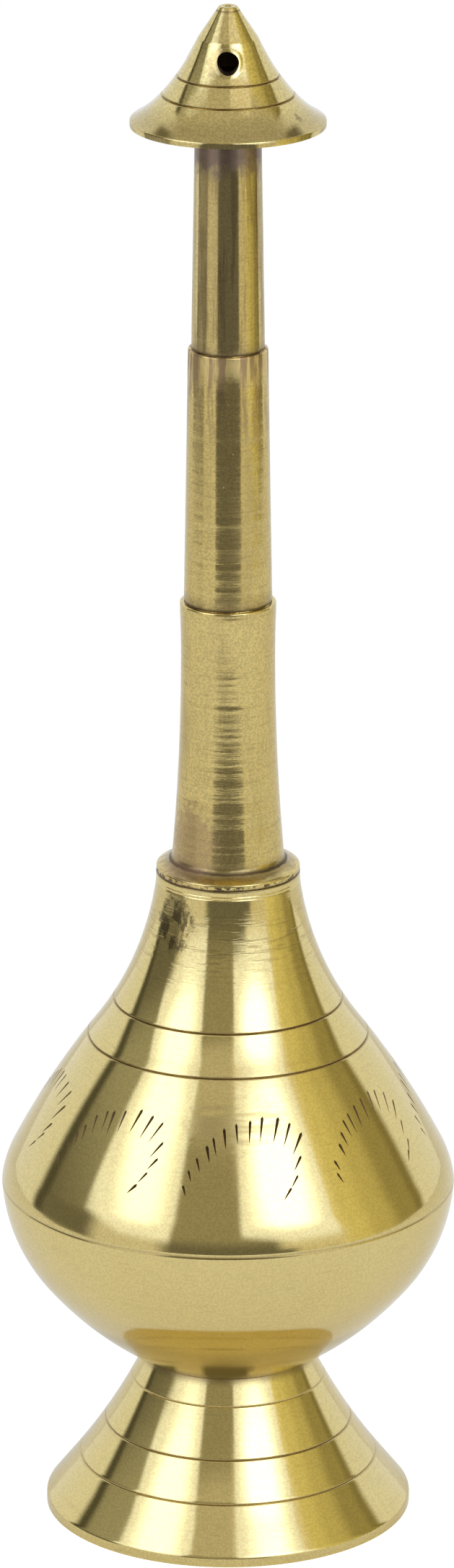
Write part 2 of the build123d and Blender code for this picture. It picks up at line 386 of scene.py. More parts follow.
class Pen:
    """Draws one string of edges in the plane y = 0, in millimetres, upwards on the outside."""

    def __init__(self, bm, x, z, lean=0.0):
        self.bm = bm
        self.start = self.tip = bm.verts.new((x, 0, z))
        self.way = Vector((-sin(radians(lean)), 0, cos(radians(lean))))
        self.marks = [(self.tip.co.copy(), self.way.copy())]

    def stroke(self, steps, **motion):
        motion = {"cent": (0, 0, 0), "angle": 0.0, **motion}
        spun = bmesh.ops.spin(self.bm, geom=[self.tip], axis=(0, 1, 0), steps=steps, **motion)
        self.tip = next(item for item in spun["geom_last"] if isinstance(item, bmesh.types.BMVert))
        self.marks.append((self.tip.co.copy(), self.way.copy()))
        return self

    def line(self, x, z, steps=1):
        path = Vector((x, 0, z)) - self.tip.co
        self.way = path.normalized()
        return self.stroke(steps, dvec=path / steps)

    def arc(self, x, z, steps):
        chord = Vector((x, 0, z)) - self.tip.co
        across = Vector((self.way.z, 0, -self.way.x))
        centre = self.tip.co + across * chord.length_squared / (2 * chord.dot(across))
        turn = 2 * atan2(self.way.cross(chord).y, self.way.dot(chord))
        self.way = Matrix.Rotation(turn, 3, "Y") @ self.way
        return self.stroke(steps, cent=centre, angle=turn)

    def lean(self, angle):
        """Turns the pen to lean in towards the axis by an angle from upright."""
        self.way = Vector((-sin(radians(angle)), 0, cos(radians(angle))))
        return self


def inward(way):
    return Vector((-way.z, 0, way.x))


def inner_wall(bm, marks, wall, steps):
    """A second pen that follows the marks of the first, a wall's thickness inside it."""
    places = [place + inward(way) * wall for place, way in marks]
    pen = Pen(bm, places[0].x, places[0].z)
    pen.way = marks[0][1].copy()
    for place in places[1:]:
        pen.arc(place.x, place.z, steps)
    return pen


# %% Grooves, soft corners and the full turn
def station(bm, height):
    """Place and direction where what is drawn so far passes a height."""
    for edge in bm.edges:
        first, second = sorted((vert.co for vert in edge.verts), key=lambda co: co.z)
        if first.z <= height < second.z:
            along = (second - first).normalized()
            return first.lerp(second, (height - first.z) / (second.z - first.z)), along
    raise ValueError(f"nothing is drawn at {height}")


def vert_at(bm, place):
    return min(bm.verts, key=lambda vert: (vert.co - place).length)


def soften(bm, size, *places):
    """Breaks sharp corners of a half section, as a file or a polishing cloth does."""
    for place in places:
        corner = vert_at(bm, Vector(place))
        bmesh.ops.bevel(
            bm, geom=[corner], offset=size, offset_type="OFFSET", segments=3, profile=0.5,
            affect="VERTICES", material=-1,
        )


def cut_groove(bm, height, width, depth, worn, worn_over=None):
    """A V cut square to the surface at a height; its upper rim may be worn further than the lower."""
    place, along = station(bm, height)
    half = width / 2
    for reach in (-half, 0, half):
        near = [edge for edge in bm.edges if all((v.co - place).length < 3 * width for v in edge.verts)]
        near += [vert for vert in bm.verts if (vert.co - place).length < 3 * width]
        bmesh.ops.bisect_plane(bm, geom=near, plane_co=place + along * reach, plane_no=along, dist=FINE)
    for vert in bm.verts:
        offset = vert.co - place
        if abs(offset.dot(along)) < half - FINE and offset.length < width:
            vert.co += inward(along) * depth * (1 - abs(offset.dot(along)) / half)
    soften(bm, worn, place - along * half)
    soften(bm, worn_over or worn, place + along * half)


def turn(bm, around=ROUND):
    """The lathe: sweeps the half section once round the axis and closes it."""
    section = bm.verts[:] + bm.edges[:]
    bmesh.ops.spin(
        bm, geom=section, cent=(0, 0, 0), axis=(0, 0, 1), angle=2 * pi, steps=around, use_merge=True,
    )
    bmesh.ops.remove_doubles(bm, verts=bm.verts, dist=FINE)
    bmesh.ops.dissolve_degenerate(bm, dist=FINE, edges=bm.edges)
    bmesh.ops.recalc_face_normals(bm, faces=bm.faces)
    return bm


# %% [markdown]
# ## From mesh to piece
#
# A finished piece gets its metres, its finish and its body: what stays on the table (`vessel`), the
# washer (`seal`) or what comes off with the neck (`neck`). It stands for one CAD node, which is then
# hidden. Cuts are made with exact booleans, and the cutter's own finish comes through on the cut faces.

# %% Finishing a piece
SHARP = radians(32)


def placed(name, bm, material):
    """An object with one finish, scaled from what was drawn in millimetres."""
    bmesh.ops.scale(bm, vec=(MM, MM, MM), verts=bm.verts)
    mesh = bpy.data.meshes.new(name)
    bm.to_mesh(mesh)
    bm.free()
    piece = bpy.data.objects.new(name, mesh)
    scene.collection.objects.link(piece)
    mesh.materials.append(material)
    return piece


def finish_piece(piece, node):
    """Smooths the faces, hands the piece to its body and says what it made."""
    piece.data.shade_smooth()
    piece.data.set_sharp_from_angle(angle=SHARP)
    body = next(name for name, nodes in frame["record"]["behaviour"]["bodies"].items() if node in nodes)
    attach(piece, body)
    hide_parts(node)
    triangles = sum(len(face.vertices) - 2 for face in piece.data.polygons)
    print(f"{piece.name}: {triangles} triangles, rides on {body}")
    return piece


def cut(piece, cutter, crossing=False):
    """Takes the cutter out of the piece for good; its own parts may cross each other."""
    tool = piece.modifiers.new("cut", "BOOLEAN")
    tool.operation = "DIFFERENCE"
    tool.solver = "EXACT"
    tool.use_self = crossing
    tool.material_mode = "TRANSFER"
    tool.object = cutter
    graph = bpy.context.evaluated_depsgraph_get()
    made = bpy.data.meshes.new_from_object(piece.evaluated_get(graph), depsgraph=graph)
    piece.modifiers.clear()
    old = piece.data
    piece.data = made
    made.name = old.name
    bpy.data.objects.remove(cutter)
    bpy.data.meshes.remove(old)


# %% [markdown]
# ## Effects that the finishes share
#
# Small node groups put marks on the metal. `lathe_lines` draws fine rings, by squeezing a noise along
# the axis, and `hairlines` are the few of them that a rag or a grain of sand drew a little way round.
# `stain_and_shade_ring` is a ragged ring at one height: mostly tarnish, as is left beside a brazed joint
# or in a groove, and in a few places painted shade. `blotch` is one mark in one place: tarnish in some
# places, a painted dark reflection in others. `patches` is the soft, blotchy unevenness of handled
# metal. `pits` are the small dark specks of cast brass, and `sand` its finest grain. Each is made once
# and placed in every finish with its own numbers.


# %% Node groups
def group(name, inputs, outputs):
    """An empty node group: what writes its tree, what comes in from outside and what it gives back."""
    tree = bpy.data.node_groups.new(name, "ShaderNodeTree")
    for label, value in inputs.items():
        tree.interface.new_socket(label, in_out="INPUT", socket_type="NodeSocketFloat").default_value = value
    for label in outputs:
        tree.interface.new_socket(label, in_out="OUTPUT", socket_type="NodeSocketFloat")
    nodes = Nodes(tree)
    entry = tree.nodes.new("NodeGroupInput").outputs
    leave = tree.nodes.new("NodeGroupOutput").inputs
    return nodes, entry, leave


def millimetres(nodes):
    """The place on the piece in millimetres, as a vector and its three parts."""
    place = nodes.add("TexCoord").outputs["Object"]
    place = nodes.add("VectorMath", {0: place, "Scale": 1 / MM}, operation="SCALE").outputs["Vector"]
    parts = nodes.add("SeparateXYZ", {0: place}).outputs
    return place, parts["X"], parts["Y"], parts["Z"]


def make_lathe_lines():
    nodes, entry, leave = group("lathe_lines", {"Lines per mm": 3.0, "Drift": 0.05}, ("Height",))
    _, x, y, z = millimetres(nodes)
    across = nodes.math("MULTIPLY", entry["Lines per mm"], z)
    drift = nodes.add("CombineXYZ", {
        "X": nodes.math("MULTIPLY", x, entry["Drift"]),
        "Y": nodes.math("MULTIPLY", y, entry["Drift"]),
        "Z": across,
    })
    noise = nodes.add("TexNoise", {"Vector": drift.outputs[0], "Scale": 1.0, "Detail": 3.0, "Roughness": 0.6})
    nodes.tree.links.new(noise.outputs["Fac"], leave["Height"])
    return nodes.tree


def make_stain_and_shade_ring():
    inputs = {"Height": 0.0, "Spread above": 1.0, "Spread below": 1.0, "Ragged": 0.5}
    nodes, entry, leave = group("stain_and_shade_ring", inputs, ("Mask",))
    place, _, _, z = millimetres(nodes)
    noise = nodes.add("TexNoise", {"Vector": place, "Scale": 0.5, "Detail": 4.0, "Roughness": 0.65})
    wobble = nodes.math("MULTIPLY", nodes.math("SUBTRACT", noise.outputs["Fac"], 0.5), entry["Ragged"])
    away = nodes.math("ADD", nodes.math("SUBTRACT", z, entry["Height"]), wobble)
    over = nodes.math("DIVIDE", nodes.math("MAXIMUM", away, 0.0), entry["Spread above"])
    below = nodes.math("MAXIMUM", nodes.math("MULTIPLY", away, -1.0), 0.0)
    under = nodes.math("DIVIDE", below, entry["Spread below"])
    mask = nodes.smooth(nodes.math("ADD", over, under), 0.0, 1.0, 1.0, 0.0)
    nodes.tree.links.new(mask, leave["Mask"])
    return nodes.tree


def make_patches():
    inputs = {"Size mm": 10.0, "Upright": 1.0, "From": 0.45, "To": 0.7}
    nodes, entry, leave = group("patches", inputs, ("Mask",))
    _, x, y, z = millimetres(nodes)
    squeezed = nodes.add("CombineXYZ", {"X": x, "Y": y, "Z": nodes.math("DIVIDE", z, entry["Upright"])})
    scale = nodes.math("DIVIDE", 1.0, entry["Size mm"])
    squeezed = squeezed.outputs[0]
    noise = nodes.add("TexNoise", {"Vector": squeezed, "Scale": scale, "Detail": 5.0, "Roughness": 0.6})
    mask = nodes.smooth(noise.outputs["Fac"], entry["From"], entry["To"])
    nodes.tree.links.new(mask, leave["Mask"])
    return nodes.tree


def make_pits():
    nodes, entry, leave = group("pits", {"Per mm": 1.0, "Size": 0.2, "Share": 0.4}, ("Mask",))
    place, _, _, _ = millimetres(nodes)
    cells = nodes.add("TexVoronoi", {"Vector": place, "Scale": entry["Per mm"]})
    luck = nodes.add("SeparateColor", {0: cells.outputs["Color"]}).outputs[0]
    chosen = nodes.math("LESS_THAN", luck, entry["Share"])
    half = nodes.math("MULTIPLY", entry["Size"], 0.5)
    speck = nodes.smooth(cells.outputs["Distance"], half, entry["Size"], 1.0, 0.0)
    nodes.tree.links.new(nodes.math("MULTIPLY", speck, chosen), leave["Mask"])
    return nodes.tree


def make_hairlines():
    inputs = {"Lines per mm": 4.0, "Length mm": 6.0, "From": 0.58, "To": 0.68}
    nodes, entry, leave = group("hairlines", inputs, ("Mask",))
    _, x, y, z = millimetres(nodes)
    stretched = nodes.add("CombineXYZ", {
        "X": nodes.math("DIVIDE", x, entry["Length mm"]),
        "Y": nodes.math("DIVIDE", y, entry["Length mm"]),
        "Z": nodes.math("MULTIPLY", z, entry["Lines per mm"]),
    })
    stretched = stretched.outputs[0]
    noise = nodes.add("TexNoise", {"Vector": stretched, "Scale": 1.0, "Detail": 2.0, "Roughness": 0.5})
    nodes.tree.links.new(nodes.smooth(noise.outputs["Fac"], entry["From"], entry["To"]), leave["Mask"])
    return nodes.tree


def make_blotch():
    inputs = {"X": 0.0, "Y": 0.0, "Z": 0.0, "Size mm": 3.0, "Tall": 1.0, "Ragged": 0.6}
    nodes, entry, leave = group("blotch", inputs, ("Mask",))
    place, _, _, _ = millimetres(nodes)
    middle = nodes.add("CombineXYZ", {"X": entry["X"], "Y": entry["Y"], "Z": entry["Z"]}).outputs[0]
    away = nodes.add("VectorMath", {0: place, 1: middle}, operation="SUBTRACT").outputs["Vector"]
    squeeze = nodes.math("DIVIDE", 1.0, entry["Tall"])
    flat = nodes.add("CombineXYZ", {"X": 1.0, "Y": 1.0, "Z": squeeze}).outputs[0]
    away = nodes.add("VectorMath", {0: away, 1: flat}, operation="MULTIPLY").outputs["Vector"]
    away = nodes.add("VectorMath", {0: away}, operation="LENGTH").outputs["Value"]
    away = nodes.math("DIVIDE", away, entry["Size mm"])
    noise = nodes.add("TexNoise", {"Vector": place, "Scale": 0.9, "Detail": 5.0, "Roughness": 0.7})
    wobble = nodes.math("MULTIPLY", nodes.math("SUBTRACT", noise.outputs["Fac"], 0.5), entry["Ragged"])
    mask = nodes.smooth(nodes.math("ADD", away, wobble), 0.55, 1.0, 1.0, 0.0)
    nodes.tree.links.new(mask, leave["Mask"])
    return nodes.tree


def make_sand():
    nodes, entry, leave = group("sand", {"Grains per mm": 4.0}, ("Mask",))
    place, _, _, _ = millimetres(nodes)
    noise = nodes.add("TexNoise", {"Vector": place, "Scale": entry["Grains per mm"], "Detail": 1.0})
    nodes.tree.links.new(nodes.smooth(noise.outputs["Fac"], 0.38, 0.62), leave["Mask"])
    return nodes.tree


MAKERS = (make_lathe_lines, make_hairlines, make_stain_and_shade_ring, make_blotch, make_patches, make_pits, make_sand)
GROUPS = {tree.name: tree for tree in (make() for make in MAKERS)}
print("effects:", sorted(GROUPS))


# %% [markdown]
# ## Brass
#
# Brass is a metal, so its base colour is the tint of what it mirrors. Turning leaves fine rings that
# spread every reflection up and down and keep it sharp sideways; the shader's anisotropy does that,
# with a radial tangent about the upright axis. Tarnish is the same metal, browner and duller. The two
# are one shader here, mixed by masks, so an edge between them stays crisp.

# %% Brass finish
BRASS = (0.755, 0.60, 0.24, 1.0)
PALE_BRASS = (0.78, 0.66, 0.34, 1.0)
NECK_BRASS = (0.75, 0.575, 0.21, 1.0)
TARNISH_AND_SHADE = (0.20, 0.125, 0.055, 1.0)
DEEP_STAIN_AND_DARK_REFLECTION = (0.075, 0.05, 0.025, 1.0)
SHADED_GRAIN = (0.46, 0.365, 0.14, 1.0)
ACROSS_THE_RINGS = 0.25
GRAINS = 2.8


class Brass:
    """A brass finish: the shader, and the masks that dull it, stain it and paint shade on it."""

    def __init__(self, name, colour=BRASS, roughness=0.16, spread=0.55):
        self.material, self.nodes = new_material(name)
        self.shader = self.nodes.add("BsdfPrincipled", {
            "Metallic": 1.0, "Anisotropic": spread, "Anisotropic Rotation": ACROSS_THE_RINGS,
        })
        tangent = self.nodes.add("Tangent", direction_type="RADIAL", axis="Z")
        self.fill("Tangent", tangent.outputs[0])
        self.colour = colour
        self.roughness = roughness
        self.height = None
        self.nodes.add("OutputMaterial", {"Surface": self.shader.outputs[0]})

    def fill(self, socket, value):
        self.nodes.fill(self.shader.inputs[socket], value)

    def effect(self, name, **values):
        node = self.nodes.tree.nodes.new("ShaderNodeGroup")
        node.node_tree = GROUPS[name]
        for label, value in values.items():
            node.inputs[label.replace("_", " ")].default_value = value
        return node.outputs[0]

    def ring(self, height, over, under, ragged):
        """The mask of a ring round the piece, with its reach above and below a height."""
        return self.effect("stain_and_shade_ring", Height=height, Spread_above=over, Spread_below=under, Ragged=ragged)

    def blotch(self, place, size, tall, ragged):
        """The mask of one blotch at a place on the piece."""
        x, y, z = place
        return self.effect("blotch", X=x, Y=y, Z=z, Size_mm=size, Tall=tall, Ragged=ragged)

    def dull(self, mask, strength, colour, roughness):
        """Where the mask is, the metal takes another colour and roughness."""
        share = self.nodes.math("MULTIPLY", mask, strength)
        self.colour = self.nodes.mix(share, self.colour, colour)
        change = self.nodes.math("MULTIPLY", share, roughness)
        self.roughness = self.nodes.math("ADD", self.roughness, change)

    def mark(self, strength, colour, roughness, name, **values):
        """Dulls the metal by the mask of one effect."""
        self.dull(self.effect(name, **values), strength, colour, roughness)

    def both(self, mask, name, **values):
        """A mask where another effect shows too."""
        return self.nodes.math("MULTIPLY", mask, self.effect(name, **values))

    def raise_by(self, mask, depth):
        """Adds a mask to the surface's height, in millimetres."""
        part = self.nodes.math("MULTIPLY", mask, depth)
        self.height = part if self.height is None else self.nodes.math("ADD", self.height, part)

    def turned(self, depth, per_mm, drift):
        """Raises lathe lines of a depth in millimetres."""
        self.raise_by(self.effect("lathe_lines", Lines_per_mm=per_mm, Drift=drift), depth)

    def done(self):
        self.fill("Base Color", self.colour)
        self.fill("Roughness", self.roughness)
        if self.height is not None:
            bump = self.nodes.add("Bump", {"Height": self.height, "Strength": 1.0, "Distance": MM})
            self.fill("Normal", bump.outputs[0])
        return self.material


# %% Finishes of the single pieces
def polished(name, tarnish_and_shade_rings, roughness=0.08, lines=0.0016, sand=0.32, scratched=None):
    """The belly, foot and hat: polished on the lathe, handled, with tarnish in each V cut and joint, and
    rings of painted shade where listed.
    """
    finish = Brass(name, roughness=roughness, spread=0.45)
    finish.mark(0.20, PALE_BRASS, 0.10, "patches", Size_mm=16.0, Upright=1.4, From=0.45, To=0.8)
    finish.mark(0.12, TARNISH_AND_SHADE, 0.2, "patches", Size_mm=7.0, Upright=0.45, From=0.55, To=0.85)
    finish.mark(sand, SHADED_GRAIN, 0.0, "sand", Grains_per_mm=GRAINS)
    finish.mark(0.10, TARNISH_AND_SHADE, 0.2, "hairlines", Lines_per_mm=3.5, Length_mm=7.0, From=0.60, To=0.70)
    if scratched:
        zone = finish.ring(*scratched, ragged=4.0)
        scratches = finish.both(zone, "hairlines", Lines_per_mm=2.2, Length_mm=5.0, From=0.50, To=0.66)
        finish.dull(scratches, 0.35, TARNISH_AND_SHADE, 0.3)
        finish.raise_by(scratches, -0.012)
    for height, over, under, strength in tarnish_and_shade_rings:
        finish.dull(finish.ring(height, over, under, ragged=0.15), strength, TARNISH_AND_SHADE, 0.3)
    finish.turned(lines, per_mm=4.0, drift=0.03)
    finish.turned(lines * 3, per_mm=1.0, drift=0.02)
    return finish


def neck_brass(name, stains, joints, colour=NECK_BRASS, roughness=0.095):
    """The neck: turned less finely, browner, pitted and streaked along its joints."""
    finish = Brass(name, colour=colour, roughness=roughness, spread=0.45)
    finish.mark(0.35, TARNISH_AND_SHADE, 0.2, "patches", Size_mm=4.0, Upright=6.0, From=0.48, To=0.78)
    finish.mark(0.55, SHADED_GRAIN, 0.0, "sand", Grains_per_mm=GRAINS)
    finish.mark(0.2, TARNISH_AND_SHADE, 0.15, "hairlines", Lines_per_mm=3.0, Length_mm=5.0, From=0.58, To=0.68)
    for height, over, under, strength, ragged in stains:
        finish.dull(finish.ring(height, over, under, ragged), strength, TARNISH_AND_SHADE, 0.3)
    for height, over, under in joints:
        finish.dull(finish.ring(height, over, under, ragged=0.5), 0.9, DEEP_STAIN_AND_DARK_REFLECTION, 0.3)
    specks = finish.effect("pits", Per_mm=1.3, Size=0.13, Share=0.10)
    finish.dull(specks, 0.6, DEEP_STAIN_AND_DARK_REFLECTION, 0.3)
    finish.raise_by(specks, -0.02)
    finish.turned(0.003, per_mm=3.0, drift=0.05)
    finish.turned(0.007, per_mm=0.8, drift=0.04)
    finish.turned(0.008, per_mm=1.7, drift=0.30)
    return finish


# %% [markdown]
# ## The foot
#
# The foot is a hollow flared cone on a thin upright edge. Its skirt is straight at first and then
# sweeps in to a narrow top, on which the bowl sits. Three V grooves ring it. Inside it is turned to an
# even wall, and a shallow socket in its top takes the bowl's spigot.

# %% Foot
def make_foot():
    edge, slope, rise = 1.5, 38.4, 4.2
    neck, wall, socket, ceiling, hollow = 13.7, 2.0, 11.05, 21.5, 13.2
    rim = radius("foot")
    bend = rim - rise * sin(radians(slope)) / cos(radians(slope))
    bm = bmesh.new()
    outside = Pen(bm, rim, ground).line(rim, edge, 2).line(bend, edge + rise, 10)
    outside.arc(neck, foot_top, 64)
    cut_groove(bm, foot_top - 4.0, width=0.30, depth=0.10, worn=0.04)
    for drop in (11.5, 17.5):
        cut_groove(bm, foot_top - drop, width=0.36, depth=0.16, worn=0.05)
    soften(bm, 0.25, (rim, 0, edge))
    soften(bm, 0.12, (rim, 0, ground))
    outside.line(socket, foot_top, 2).line(socket, ceiling, 2).line(hollow, ceiling)
    across = inward(outside.marks[2][1]) * wall
    inner_bend = Vector((bend, 0, edge + rise)) + across
    chord = inner_bend - outside.tip.co
    arrive = -outside.marks[2][1]
    outside.way = (2 * arrive.dot(chord) * chord / chord.length_squared - arrive).normalized()
    outside.arc(inner_bend.x, inner_bend.z, 32)
    outside.line(rim - wall * cos(radians(slope)), ground, 6)
    bm.edges.new((outside.tip, outside.start))
    return turn(bm)


foot_finish = polished("foot_brass", [
    (22.0, 0.25, 0.25, 0.35), (14.5, 0.3, 0.3, 0.7), (8.5, 0.3, 0.3, 0.5), (26.0, 0.2, 1.4, 0.6),
])
foot = placed("turned_foot", make_foot(), foot_finish.done())
finish_piece(foot, "foot")

# %% [markdown]
# ## The belly
#
# The belly is too round to be turned in one piece with an even wall, so it is two shells: a bowl and
# a shoulder, lapped and brazed at the widest line. After polishing, only a soft crease shows there.
# The bowl ends below in a spigot with a flat floor. The shoulder sweeps up to a collar, where a
# threaded bush is let into the mouth.

# %% Bowl
BELLY = 36.55
WALL = 2.0
LAP = 35.45
LAP_TOP = 58.4
CREASE = 0.12


def trim(bm, before, co, no):
    """Cuts what was drawn since then by a plane, drops what lies beyond it and returns the new end."""
    drawn = [vert for vert in bm.verts if vert not in before]
    drawn += [edge for edge in bm.edges if not before.intersection(edge.verts)]
    kept = bmesh.ops.bisect_plane(bm, geom=drawn, plane_co=co, plane_no=no, dist=FINE, clear_outer=True)
    return next(item for item in kept["geom_cut"] if isinstance(item, bmesh.types.BMVert))


def make_bowl():
    spigot, spigot_low, floor, well = 11.0, 21.5, 23.7, 9.0
    bm = bmesh.new()
    outside = Pen(bm, 13.7, foot_top, lean=29.4 - 90)
    outside.arc(BELLY - 5.95, seam - 15.7, 56).arc(BELLY, seam, 56)
    inside = inner_wall(bm, outside.marks, WALL, 28)
    outside.tip.co.x -= CREASE
    outside.line(LAP, seam).line(LAP, LAP_TOP, 2).line(inside.tip.co.x, LAP_TOP)
    bm.edges.new((outside.tip, inside.tip))
    below = Pen(bm, 0, spigot_low).line(spigot, spigot_low, 6).line(spigot, foot_top, 3)
    bm.edges.new((below.tip, outside.start))
    bottom = Pen(bm, 0, floor).line(well, floor, 6).line(well, inside.start.co.z, 2)
    bm.edges.new((bottom.tip, inside.start))
    return turn(bm)


# The wide, weak ring at 34.5 mm is painted shade: a dark reflection of the foot on the lower bowl.
bowl_finish = polished("bowl_brass", [
    (26.0, 1.2, 0.2, 0.7), (34.5, 2.5, 9.0, 0.25), (56.0, 0.1, 0.35, 0.35),
], sand=0.25)
bowl = placed("turned_bowl", make_bowl(), bowl_finish.done())
finish_piece(bowl, "bowl")

# %% Shoulder
COLLAR = 11.5
BUSH_SOCKET = 9.6
LEDGE = 99.0
GROOVE = {"width": 0.36, "depth": 0.22, "worn": 0.05}


def engraved_side(bm):
    """The shoulder's outside, from the widest line to above the engraving."""
    pen = Pen(bm, BELLY, seam, lean=7.9)
    return pen.arc(BELLY - 1.6, seam + 5.05, 20).arc(BELLY - 14.85, seam + 26.1, 70)


def make_shoulder():
    land, ledge_radius, ledge_land, undercut, fit = 1.5, 8.6, 1.0, 4.5, 0.05
    bm = bmesh.new()
    outside = engraved_side(bm).arc(COLLAR, mouth - land, 80)
    marks = outside.marks[:]
    outside.line(COLLAR, mouth, 4)
    for drop in (21.5, 27.5):
        cut_groove(bm, mouth - drop, **GROOVE)
    for drop in (0.95, 1.45):
        cut_groove(bm, mouth - drop, width=0.2, depth=0.06, worn=0.02)
    outside.start.co.x -= CREASE
    outside.line(BUSH_SOCKET, mouth, 2).line(BUSH_SOCKET, LEDGE, 3).line(ledge_radius, LEDGE)
    outside.line(ledge_radius, LEDGE - ledge_land)
    soften(bm, 0.12, (COLLAR, 0, mouth))
    before = set(bm.verts)
    inner_wall(bm, marks, WALL, 24)
    throat = trim(bm, before, (0, 0, LEDGE - undercut), (0, 0, 1))
    rim = trim(bm, before, (0, 0, LAP_TOP), (0, 0, -1))
    bm.edges.new((outside.tip, throat))
    lap = Pen(bm, LAP + fit, seam).line(LAP + fit, LAP_TOP, 2)
    bm.edges.new((outside.start, lap.start))
    bm.edges.new((lap.tip, rim))
    return turn(bm)


# %% [markdown]
# ## The engraving
#
# Eight small arches ring the shoulder. Each is a fan of short strokes that a graver cut by hand: the
# tool digs in at the outer end and comes up towards the middle of the arch, so a stroke is a V that is
# widest and darkest at its head and runs out to nothing. A stroke's cutter is a four-sided spindle,
# pointed at both ends, that lies half in the metal. All spindles together are one cutter, and its dark
# finish stays in the cuts.

# %% Graver strokes
ARCHES = 8
FIRST_ARCH = 4.5
ARCH_FOOT = 66.0
ARCH_MIDDLE = 1.0
FAN = (-88.0, 93.0)
STROKES = 15
REACH = ((-88, 10.4), (-50, 8.4), (0, 9.0), (50, 11.4), (60, 9.8), (93, 6.6))
LENGTH = ((-88, 1.9), (-55, 2.2), (-33, 3.8), (10, 4.5), (50, 5.7), (60, 3.2), (93, 2.3))
TILT = ((-88, -20), (-30, -8), (0, 4), (50, 34), (93, 38))
HEAD_WIDTH = 0.46
HEAD_DEPTH = 0.24
HEAD_SLOPE = 0.40
SPINE = 0.6
BLUNT = 0.55


def between(knots, value):
    """A value on the straight runs between given knots."""
    for (first, start), (second, end) in zip(knots, knots[1:]):
        if value <= second:
            return start + (end - start) * (value - first) / (second - first)
    return knots[-1][1]


def add_stroke(bm, place, along, outward, length, width, depth):
    """One spindle: its head at a place on the metal, its point a stroke's length along."""
    body = bmesh.ops.create_cone(
        bm, cap_ends=True, cap_tris=False, segments=4, radius1=1.0, radius2=BLUNT, depth=SPINE,
    )["verts"]
    caps = [
        face for corner in (body[0], body[-1]) for face in corner.link_faces
        if len({round(vert.co.z, 6) for vert in face.verts}) == 1
    ]
    head, point = sorted(bmesh.ops.poke(bm, faces=caps)["verts"], key=lambda vert: vert.co.z)
    verts = body + [head, point]
    bmesh.ops.translate(bm, vec=(0, 0, SPINE / 2), verts=verts)
    head.co.z -= HEAD_SLOPE / length
    point.co.z = 1.0
    side = along.cross(outward).normalized()
    turned = Matrix((side * width, outward * depth, along * length)).transposed().to_4x4()
    bmesh.ops.transform(bm, matrix=Matrix.Translation(place) @ turned, verts=verts)


def make_graver_cuts():
    hand = random.Random(7)
    line = bmesh.new()
    engraved_side(line)
    bm = bmesh.new()
    for arch in range(ARCHES):
        middle = radians(FIRST_ARCH + 360 / ARCHES * arch) + hand.uniform(-0.012, 0.012)
        for stroke in range(STROKES):
            angle = FAN[0] + (FAN[1] - FAN[0]) * stroke / (STROKES - 1) + hand.uniform(-2.2, 2.2)
            reach = between(REACH, angle) + hand.uniform(-0.25, 0.25)
            length = between(LENGTH, angle) * hand.uniform(0.86, 1.14)
            tilt = radians(between(TILT, angle) + hand.uniform(-2.5, 2.5))
            height = ARCH_FOOT + reach * cos(radians(angle))
            spot, rising = station(line, height)
            azimuth = middle + (ARCH_MIDDLE + reach * sin(radians(angle))) / spot.x
            spin_to = Matrix.Rotation(azimuth - pi / 2, 3, "Z")
            up = spin_to @ rising
            outward = spin_to @ -inward(rising)
            aside = Vector((cos(azimuth), sin(azimuth), 0))
            along = -(up * cos(tilt) + aside * sin(tilt))
            weight = hand.uniform(0.8, 1.15)
            half_width = HEAD_WIDTH / 2 * weight
            add_stroke(bm, spin_to @ spot, along, outward, length, half_width, HEAD_DEPTH * weight)
    line.free()
    bmesh.ops.recalc_face_normals(bm, faces=bm.faces)
    print("graver strokes:", ARCHES * STROKES)
    return bm


# %% Shoulder and its engraving
SCUFFED = (0.45, 0.34, 0.14, 1.0)
CUT_BRASS = (0.16, 0.10, 0.045, 1.0)

shoulder_finish = polished("shoulder_brass", [
    (56.0, 0.5, 0.1, 0.35), (81.0, 0.3, 0.3, 0.9), (87.0, 0.3, 0.3, 0.9), (108.5, 0.1, 0.3, 0.9),
], scratched=(101.0, 7.0, 12.0))
scuff = shoulder_finish.blotch((1.5, -26.0, 74.5), size=9.5, tall=0.5, ragged=1.2)
scuff = shoulder_finish.both(scuff, "hairlines", Lines_per_mm=1.6, Length_mm=9.0, From=0.30, To=0.62)
shoulder_finish.dull(scuff, 0.5, SCUFFED, 0.4)
# A painted dark reflection on the shoulder's left side below the collar, the ragged top of the room's left
# dark band.
shoulder_dark_reflection = shoulder_finish.blotch((-8.4, -8.6, 101.8), size=4.6, tall=1.1, ragged=1.6)
shoulder_dark_reflection = shoulder_finish.both(shoulder_dark_reflection, "patches", Size_mm=2.6, Upright=1.6, From=0.47, To=0.53)
shoulder_finish.dull(shoulder_dark_reflection, 0.8, DEEP_STAIN_AND_DARK_REFLECTION, 0.15)
engraved = Brass("engraved_brass", colour=CUT_BRASS, roughness=0.45, spread=0.0)
engraved.turned(0.01, per_mm=6.0, drift=2.0)

shoulder = placed("engraved_shoulder", make_shoulder(), shoulder_finish.done())
graver = placed("graver", make_graver_cuts(), engraved.done())
cut(shoulder, graver, crossing=True)
finish_piece(shoulder, "shoulder")
print("finishes on the shoulder:", [slot.name for slot in shoulder.data.materials])

# %% [markdown]
# ## The screw joint
#
# The neck's nipple screws five turns into the bush. A thread is a groove of trapezoid section that
# climbs 2 mm a turn: the section is one face, and `spin` with a step upwards sweeps it into a helix,
# which is then cut out of the plain piece. The nipple's ridges lie in the bush's grooves with a tenth
# of a millimetre to spare, and stay there while the neck turns and rises.

# %% Threads
PITCH = 2.0
CREST = 6.9
BORE = 6.45
AROUND_THREAD = 96
INNER_BRASS = (0.50, 0.37, 0.15, 1.0)


